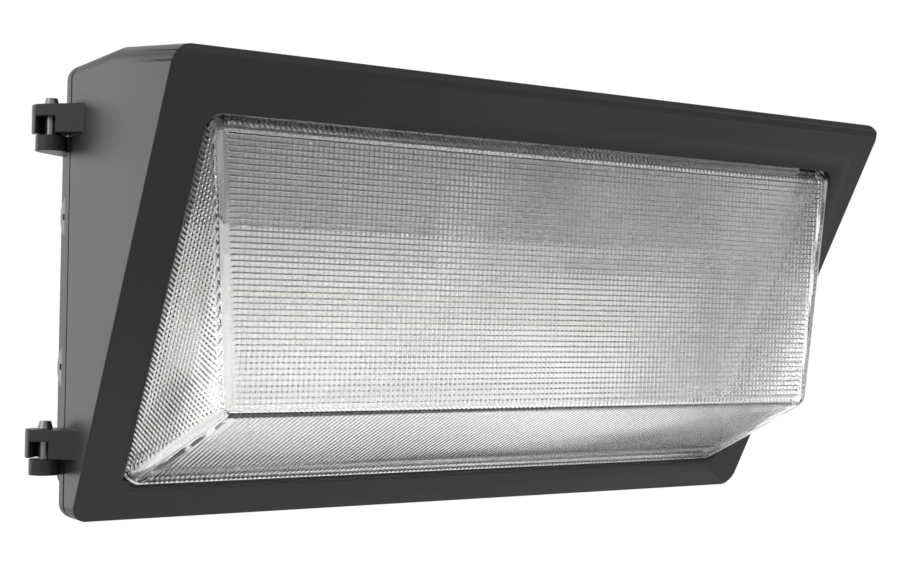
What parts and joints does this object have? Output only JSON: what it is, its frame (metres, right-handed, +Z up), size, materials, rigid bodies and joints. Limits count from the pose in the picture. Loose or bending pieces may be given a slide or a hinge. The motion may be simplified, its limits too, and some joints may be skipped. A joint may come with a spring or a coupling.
{
  "type": "outdoor wall light",
  "caption": "Wedge-shaped outdoor wall light: a cast housing, a side-hinged door with a slanted bezel and a deep ribbed glass refractor over flat light boards.",
  "frame": {"origin": "centre of the flat back that rests on the wall", "axes": "+X to the right as one faces the light, +Y into the wall, +Z up"},
  "size_m": [0.4964, 0.1848, 0.2406],
  "materials": {
    "casting_coat": "satin",
    "clear_glass": "gloss",
    "seal_rubber": "matte",
    "steel_fixings": "satin",
    "dark_fixings": "satin",
    "plug_coat": "satin",
    "reflector_white": "satin",
    "cover_grey": "satin",
    "board_white": "matte",
    "chip_face": "matte",
    "driver_case": "satin",
    "surge_case": "satin",
    "terminal_plastic": "matte",
    "brass_screw": "satin"
  },
  "bodies": {
    "housing": {"back_housing": "casting_coat", "housing_gasket": "seal_rubber", "side_entry_plugs": "plug_coat", "hinge_pins": "dark_fixings", "reflector_plate": "reflector_white", "gear_cover": "cover_grey", "light_board_upper": "board_white", "light_board_lower": "board_white", "light_chips_upper": "chip_face", "light_chips_lower": "chip_face", "led_driver": "driver_case", "surge_protector": "surge_case", "terminal_block": "terminal_plastic", "terminal_screws": "brass_screw", "ground_screw": "brass_screw"},
    "door": {"door_frame": "casting_coat", "lens": "clear_glass", "lens_gasket": "seal_rubber", "lens_clips": "steel_fixings"},
    "screw_upper": {"captive_screw_upper": "steel_fixings"},
    "screw_lower": {"captive_screw_lower": "steel_fixings"}
  },
  "joints": [
    {"name": "door_hinge", "type": "hinge", "parent": "housing", "child": "door", "pos_m": [-0.2392, -0.04125, 0], "axis": [0, 0, -1], "range_deg": [0, 105]},
    {"name": "screw_upper_slide", "type": "slide", "parent": "door", "child": "screw_upper", "axis": [0, -1, 0], "range_m": [0, 0.008]},
    {"name": "screw_lower_slide", "type": "slide", "parent": "door", "child": "screw_lower", "axis": [0, -1, 0], "range_m": [0, 0.008]}
  ]
}
